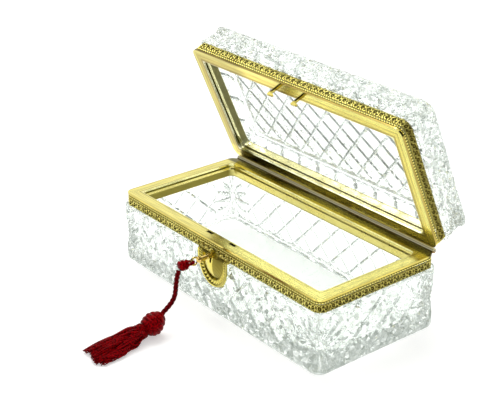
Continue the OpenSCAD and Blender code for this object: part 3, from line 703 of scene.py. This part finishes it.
def liner(face_z, way):
    """The strip from the frame's back at face_z to 8 mm along Z in the given way, with a plain back. By depth in
    millimetres its front has a bead, a half ellipse 1.9 wide round 2.2, and a turned edge round 7.7. Towards the
    hinge the bead moves down to 3.2 and a cove, a sine dip from 0.4 to 2.3, comes above it. The strip by the hinge
    is painted bright, painted light; on the others the bead and the turned edge are painted highlights and the band
    above the bead is painted dark, painted shade."""
    core, ways, _ = round_the_mount((60, 8, 30, 8), 1, (half_x - liner_inset, half_y - liner_inset))
    rear = np.clip(ways[:, 1:], 0, 1)
    depth = np.concatenate([np.linspace(0, 4.2, 22), [4.5, 5.5, 6.5, 7.3], np.linspace(7.4, liner_depth, 5)])
    bead, edge = half_ellipse(depth, 2.2, 0.95), half_ellipse(depth, 7.7, 0.3)
    dip = np.sin(np.pi * np.clip((depth - 0.4) / 1.9, 0, 1)) - half_ellipse(depth, 3.2, 0.75)
    front = liner_face - 0.2 * edge - (1 - rear) * 0.05 * bead + rear * 0.25 * dip
    # The shine is painted light: highlights on the bead and the turned edge, shade above the bead, brightness along
    # the hinge.
    shine = (1 - rear) * np.clip(0.3 * (depth > 1.1) + bead + 0.4 * edge, 0, 1) + 0.9 * rear
    beside = np.ones((len(core), 1))
    out = np.concatenate([liner_back * beside, liner_back * beside, front], 1)
    height = face_z + way * np.concatenate([liner_depth * beside, 0 * beside, depth * beside], 1)
    polish = np.concatenate([0.5 * beside, 0.5 * beside, shine], 1)
    return *mount_sweep(core, ways, out, height, -way), polish.reshape(-1)


for body, face_z, way in (("base", 48.8, -1), ("lid", 51.4, 1)):
    colour, roughness, liner_painted_shade = liner_tones[body]
    liner_gilt = shaded(gilding(f"{body}_liner_gilt", colour, roughness), liner_painted_shade)
    liner_gilt.node_tree.nodes["Principled BSDF"].inputs["Specular Tint"].default_value = (0.6, 0.5, 0.2, 1)
    mounted(body, "liner_strip", liner(face_z, way), liner_gilt, "liner")

# --- Gallery ------------------------------------------------------------------
# A cast strip below the moulding repeats a leaf between paired scrolls over a
# scalloped foot. The ground is matt and painted dark as shade, the leaves are burnished, and the right end is
# painted darker as shade.
side_leaves = (36, 2, 16, 2)
gallery_back, gallery_ground, relief_height = 4.9, 5.12, 0.82
keyhole_arch, arch_half = 2.4, 3.2
# Its dark tone is painted shade in the hollows and at the right end.
gallery_gilt = shaded(gilding("gallery_gilt", gold, 0.18), (0.13, 0.09, 0.003))


def gallery_relief(x, y, chance):
    """Height of the relief from 0 to 1 over a motif x from -1 to 1 and y from 0 at the foot to 1. Leaves slant up and
    out from the middle as ridges 0.5 + 0.5 cos(2 pi (|x| / 2.1 + 0.36 y)) in millimetres, scrolls turn as rings
    round a knob at each end, and a scalloped foot and a plain fillet close it. Chance shifts each motif a little."""
    mx, my = np.abs(x) * 2.6, y * 5.3
    leaves = np.cos(2 * np.pi * (mx / 2.1 + 0.36 * my + 0.3 * chance))
    reach = np.hypot(mx - 2.6, my - 2.9 - 0.35 * chance)
    height = (0.5 + 0.5 * np.where(reach < 1.9, np.cos(2 * np.pi * reach / 1.75), leaves)) ** 1.3
    scallop = np.hypot(mx % 1.3 - 0.65, (my - 0.1) * 0.9)
    height = np.where(my < 0.75, 0.9 * np.exp(-((scallop - 0.5) / 0.2) ** 2), height)
    return np.maximum(height, 0.9 * np.clip((my - 4.85) / 0.12, 0, 1))


def gallery(low, high, arched, right_painted_shade):
    """The strip from its foot to its top: relief grid outside, plain back inside. It can rise in an arch
    over the keyhole, by 2.4 times the cosine of the distance from the front's middle. Its hollows and its right
    end are painted darker: painted shade."""
    core, ways, run = round_the_mount(side_leaves, 24)
    y = np.linspace(0, 1, 21)
    x = (run % 1 * 2 - 1)[:, None]
    relief = gallery_relief(x, y, np.random.default_rng(11).uniform(-1, 1, 200)[run.astype(int)][:, None])
    foot = 0.42 * (1 - np.abs(np.cos(np.pi * x * 2)) ** 0.7) * (y < 0.02)
    span, beside = high - low, np.ones((len(core), 1))
    near_keyhole = np.cos(np.pi / 2 * np.clip(core[:, :1] / arch_half, -1, 1)) * (ways[:, 1:] < -0.99)
    arch = keyhole_arch * arched * near_keyhole
    height = low + arch + (span - arch) * y + foot * np.sign(span)
    back = gallery_back * beside
    out = np.concatenate([back, gallery_ground + relief_height * relief, back], 1)
    height = np.concatenate([low + arch, height, high * beside], 1)
    # The right end is painted darker: painted shade.
    tone = 1 - (1 - right_painted_shade) * np.clip(ways[:, :1], 0, 1)
    polish = tone * np.concatenate([beside, np.clip(relief * 1.7 - 0.25, 0, 1), beside], 1)
    return *mount_sweep(core, ways, out, height, 1 if span > 0 else -1), polish.reshape(-1)


for body, low, high, right_painted_shade in (("base", 41.0, 46.3, 0.75), ("lid", 59.2, 53.9, 0.55)):
    mounted(body, "leaf_gallery", gallery(low, high, body == "base", right_painted_shade), gallery_gilt, "gallery")

# --- Bedding ------------------------------------------------------------------
# Off-white plaster beds each flange on its crystal rim.
plaster_tree, plaster_shader, plaster = principled("bedding_plaster", (0.78, 0.74, 0.64), 0.9, {})
grit = node(plaster_tree, "TexNoise", {"Vector": node(plaster_tree, "TexCoord", {})["Object"], "Scale": 800})["Fac"]
feed(plaster_shader, {"Base Color": ramp(plaster_tree, grit, ((0, (0.62, 0.57, 0.47)), (1, (0.85, 0.82, 0.74))))})
dress("base_bedding", plaster)
dress("lid_bedding", plaster)

# --- Hinge --------------------------------------------------------------------
# Five brass knuckles, brazed to the flanges by their leaves, turn on a steel pin.
# The leaves are toned dark brown, partly as tarnish and partly as painted shade, and pale lines along the knuckles
# are painted highlights.
knuckle_r, painted_highlight_brass, painted_highlight_metallic = 1.53, (1.0, 0.94, 0.6, 1), 0.1
hinge_brass = gilding("tarnish_and_shade_brass", (0.30, 0.18, 0.035), 0.3)
tree, shader, tarnish_and_shade_colour = opened(hinge_brass, "Base Color")
from_pin = vector_step(tree, "MULTIPLY_ADD", node(tree, "TexCoord", {})["Object"], (0, 1, 1),
                       (0, -hinge_y * MM, -hinge_z * MM))
from_axis = vector_step(tree, "LENGTH", from_pin, out="Value")
past_knuckle = ranged(tree, from_axis, knuckle_r * MM, (knuckle_r + 0.09) * MM)
rise = ranged(tree, node(tree, "SeparateXYZ", {"Vector": from_pin})["Z"], -1.5 * MM, 1.5 * MM)
# The pale bands along the top of the knuckles are painted highlights; the rest is the dark brown of tarnish and
# painted shade.
between_lines = ramp(tree, rise, [(at, (tone,) * 3) for at, tone in (
    (0, 1), (0.52, 1), (0.55, 0), (0.79, 0), (0.81, 1), (0.84, 1), (0.86, 0), (1, 0))])
tarnish_and_shade_mask = step(tree, "MAXIMUM", past_knuckle, between_lines)
feed(shader, {"Base Color": mixed(tree, tarnish_and_shade_mask, painted_highlight_brass, tarnish_and_shade_colour),
              "Metallic": ranged(tree, tarnish_and_shade_mask, 0, 1, painted_highlight_metallic, 1.0)})
dress("base_hinge_leaf", hinge_brass, 0.12)
dress("lid_hinge_leaf", hinge_brass, 0.12)
dress("hinge_pin", gilding("pin_steel", (0.55, 0.53, 0.5), 0.28))

# --- Lock ---------------------------------------------------------------------
# A sliding bolt in a plate case behind the front rim, with two gilt hooks on the lid.
lock_brass = gilding("lock_brass", (0.62, 0.46, 0.14), 0.32)
dark_steel = gilding("blued_steel", (0.16, 0.15, 0.15), 0.35)
for plate in ("lock_case", "lock_cap"):
    dress(plate, lock_brass)
for part in ("cap_posts", "drill_pin", "bolt_spring", "lock_bolt"):
    dress(part, dark_steel)
for hook in ("left_hook", "right_hook"):
    dress(hook, lid_gilt, 0.2)

# --- Escutcheon ---------------------------------------------------------------
# A cast shield with a plain rim, a dished border of slanting reeds and a smooth
# boss round the keyhole, seated in a flat ground into the crystal. Its reed hollows, a ring on its edge and
# its face right of the keyhole are painted darker as shade, darkest on the cut lines.
hole_r, slot_half, slot_foot, slot_head, hole_foot = 1.8, 0.9, 36.0, 39.4, math.pi / 6
skin_z, boss_inset, boss_r, boss_y, boss_z = 39.6, 4.9, 18.0, -32.2, 34.3
rim_insets = np.array([4.7, 4.45, 4.1, 3.6, 3.1, 2.6, 2.1, 1.6, 1.25, 1.05, 0.6, 0.15, 0.0])
line_x, line_depth, reeds, rim_y, back_y = 1.9, 0.16, 44, -48.4, -44.5


def reach_of(outline, centre, angles):
    """Distance from the centre to a closed outline in each direction, read off its points by their bearing."""
    off = outline - centre
    bearing = np.arctan2(off[:, 0], off[:, 1]) % (2 * np.pi)
    order = np.argsort(bearing)
    return np.interp(angles, bearing[order], np.hypot(off[:, 0], off[:, 1])[order], period=2 * np.pi)


def shield_outline(inset, count=720):
    """The shield's edge, moved inward: straight sides over a half ellipse, as X and Z."""
    a, b, top = shield_half - inset, shield_drop - inset, shield_top - inset
    t = np.linspace(0, np.pi, count)
    side = np.linspace(shield_spring, top, 90)
    x = np.concatenate([a * np.cos(t), np.full(90, -a), np.linspace(-a, a, 240), np.full(90, a)])
    z = np.concatenate([shield_spring - b * np.sin(t), side, np.full(240, top), side[::-1]])
    return np.stack([x, z], 1)


def keyhole_outline():
    """A round hole of 1.8 mm radius about the key's axis with a slot 1.8 mm wide below it."""
    t = np.linspace(-np.pi / 2 + hole_foot, 1.5 * np.pi - hole_foot, 300)
    down, over = np.linspace(slot_head, slot_foot, 60), np.linspace(-slot_half, slot_half, 30)
    x = np.concatenate([hole_r * np.cos(t), np.full(60, -slot_half), over, np.full(60, slot_half)])
    z = np.concatenate([key_z + hole_r * np.sin(t), down, np.full(30, slot_foot), down[::-1]])
    return np.stack([x, z], 1)


def escutcheon_skin():
    """Rings from the keyhole's edge out to the shield's edge, every direction from one centre. A ring's relief
    depends on its distance to the edge: flat rim, dished border with reeds slanting round it, spherical boss
    with fine lines cut right of the keyhole. The last value is each point's gloss and painted light: the reed
    hollows, a ring on the edge and the face right of the keyhole are painted darker as shade."""
    count = 300
    centre, angles = np.array([0.0, skin_z]), 2 * np.pi * np.arange(count) / count
    rays = np.stack([np.sin(angles), np.cos(angles)], 1)
    near = reach_of(keyhole_outline(), centre, angles)
    border = [reach_of(shield_outline(inset), centre, angles) for inset in rim_insets]
    shares = np.concatenate([[0.0, 0.02], np.linspace(0.08, 0.97, 23)])
    radii = np.stack([near + (border[0] - near) * share for share in shares] + border)
    inset = np.concatenate([np.full(len(shares), boss_inset), rim_insets])[:, None]
    flat = centre + rays * radii[..., None]
    x, z = flat[..., 0], flat[..., 1]
    on_boss, ring_number = inset == boss_inset, np.arange(len(x))[:, None]
    lined = (ring_number % 2 == 1) & (x > line_x) & on_boss
    boss = boss_y - np.sqrt(np.clip(boss_r ** 2 - x ** 2 - (z - boss_z) ** 2, 0, None)) + line_depth * lined
    run = angles[None] * reeds / (2 * np.pi)
    reed_rise = np.sin(np.pi * np.clip((inset - 1.2) / 3.4, 0, 1)) ** 0.7
    reed = 0.6 * np.abs(np.sin(np.pi * (run + inset * 0.35))) * reed_rise
    dish = -48.7 + 1.25 * np.sin(np.pi * np.clip((inset - 1.1) / 3.9, 0, 1)) ** 0.8
    y = np.where(inset > 4.6, np.minimum(boss, -46.1), dish - reed)
    y = np.where(inset < 0.1, rim_y, y)
    behind = np.clip((z - 40.6) / 0.6, 0, 1) * (np.hypot(x, z - key_z) > 2.6)
    y = y + (np.maximum(y, -46.35) - y) * behind
    front = np.stack([x, y, z], -1)
    hole_back, edge_back = front[:1].copy(), np.repeat(front[-1:], 4, 0)
    hole_back[..., 1] = back_y
    edge_back[..., 1] = np.array([-47.7, -47.2, -46.4, back_y])[:, None]
    flare = np.array([0.1, 0.7, 1.1, 1.1])[:, None, None] * (z[-1] < key_z)[None, :, None]
    edge_back[..., ::2] += flare * rays
    rings = np.concatenate([hole_back, front, edge_back])
    # Right of the keyhole the face is painted darker as shade, darkest on the cut lines, and so are the reed hollows.
    plain = np.where(x > line_x, 0.62 - 0.45 * lined, 1.0)
    polish = np.ones(rings.shape[:2])
    polish[-3] = 0.3
    polish[1:-4] = np.where((inset > 1.2) & (inset < 4.6), np.clip(0.35 + reed * 1.6, 0, 1), plain)
    return rings.reshape(-1, 3), grid_faces(len(rings), count, True, 0, True), polish.reshape(-1)


# Its dark umber tone is painted shade.
shield_gilt = shaded(gilding("escutcheon_gilt", deep_gold, 0.16), painted_shade_umber)
points, faces, polish = escutcheon_skin()
new_piece("escutcheon_shield", points, faces, "base", "gilt", shield_gilt, "escutcheon", 50, polish=polish)

# --- Key ----------------------------------------------------------------------
# A small barrel key, turned and filed from brass and gilt, with a ring bow.
key_profile = np.array([[40.25, 0.85], [40.25, 1.5], [40.35, 1.6], [52.0, 1.6], [52.3, 1.9], [52.7, 1.9], [53.0, 1.6],
                        [57.9, 1.6], [58.05, 2.2], [58.4, 2.35], [58.8, 2.35], [59.1, 2.1], [59.2, 1.5], [59.9, 1.2],
                        [59.9, 0.02]])
bow_middle, bow_r, bit_half, bit_y, bit_z = -62.3, 2.55, 0.6, (-42.95, -40.25), (36.4, 40.2)
bow_turn = 2 * np.pi * np.arange(48) / 48
bow_route = np.stack([np.zeros(48), bow_middle + bow_r * np.cos(bow_turn), key_z + bow_r * np.sin(bow_turn)], 1)
bit_corners = np.array([[x, y, z] for x in (-bit_half, bit_half) for y in bit_y for z in bit_z])
bit_faces = [[0, 1, 3, 2], [4, 6, 7, 5], [0, 4, 5, 1], [2, 3, 7, 6], [0, 2, 6, 4], [1, 5, 7, 3]]
new_piece("barrel_key", *joined(lathe(key_profile, 32, (0, 0, key_z), *sloping(0.0)),
                                tube(bow_route, 0.65, 14, closed=True), (bit_corners, bit_faces)),
          "key", "gilt", gilding("key_gilt", (0.88, 0.66, 0.22), 0.18), "key", 35)

# --- Studio -------------------------------------------------------------------
# A white floor and white surround with soft lamps. None of it is part of the casket.
def staged(name, points, faces, material):
    """Something of the studio, made from points in millimetres."""
    mesh = bpy.data.meshes.new(name)
    mesh.from_pydata((np.asarray(points, float) * MM).tolist(), [], faces)
    mesh.materials.append(material)
    thing = bpy.data.objects.new(name, mesh)
    bpy.context.scene.collection.objects.link(thing)
    return thing


def screen(name, points, faces, tone):
    """Cloth that only mirrors and glass see, so that they have something darker than the room to show."""
    cloth = staged(name, points, faces, principled(name + "_cloth", (tone, tone, tone), 1.0, {})[2])
    cloth.visible_camera = cloth.visible_diffuse = cloth.visible_shadow = False


def part_of_a_dome(radius, turns, rises, columns, rows):
    """A grid on a sphere between two bearings and two heights given in degrees."""
    turn, rise = np.meshgrid(np.radians(np.linspace(*turns, columns)), np.radians(np.linspace(*rises, rows)))
    points = radius * np.stack([np.cos(rise) * np.cos(turn), np.cos(rise) * np.sin(turn), np.sin(rise)], -1)
    return points.reshape(-1, 3), grid_faces(rows, columns, False)


floor_half, floor_z_under, seen_glow, mirrored_glow, unseen_room = 6000, -0.25, 0.42, 0.5, 0.62
tree, shader, paint = principled("white_floor", (0.88, 0.885, 0.875), 0.9, {"Emission Color": (1, 1, 1, 1)})
ray = node(tree, "LightPath", {})
mirrored = step(tree, "MAXIMUM", ray["Is Glossy Ray"], ray["Is Transmission Ray"])
mirrored = step(tree, "MULTIPLY", mirrored, mirrored_glow)
feed(shader, {"Emission Strength": step(tree, "MULTIPLY_ADD", ray["Is Camera Ray"], seen_glow, mirrored)})
staged("floor", [(x * floor_half, y * floor_half, floor_z_under) for x, y in ((-1, -1), (1, -1), (1, 1), (-1, 1))],
       [(0, 1, 2, 3)], paint)

world = bpy.data.worlds.new("white_room")
bpy.context.scene.world = world
world.use_nodes = True
ray = node(world.node_tree, "LightPath", {})
seen = step(world.node_tree, "MAXIMUM", ray["Is Camera Ray"], ray["Is Glossy Ray"])
seen = step(world.node_tree, "MAXIMUM", seen, ray["Is Transmission Ray"])
feed(world.node_tree.nodes["Background"],
     {"Color": (1, 1, 1, 1), "Strength": ranged(world.node_tree, seen, 0, 1, unseen_room, 1.0)})

sun = bpy.data.lights.new("soft_sun", "SUN")
sun.energy, sun.angle = 1.2, math.radians(35)
sun_holder = bpy.data.objects.new("soft_sun", sun)
sun_holder.rotation_euler = Vector((-0.45, 0.25, 1)).to_track_quat("Z", "Y").to_euler()
bpy.context.scene.collection.objects.link(sun_holder)

screen("dark_room", *part_of_a_dome(1300, (185, 460), (0, 60), 48, 8), 0.02)
screen("back_cloth", *part_of_a_dome(1310, (98, 187), (0, 16), 24, 3), 0.1)

bpy.context.scene.view_settings.view_transform = "Standard"
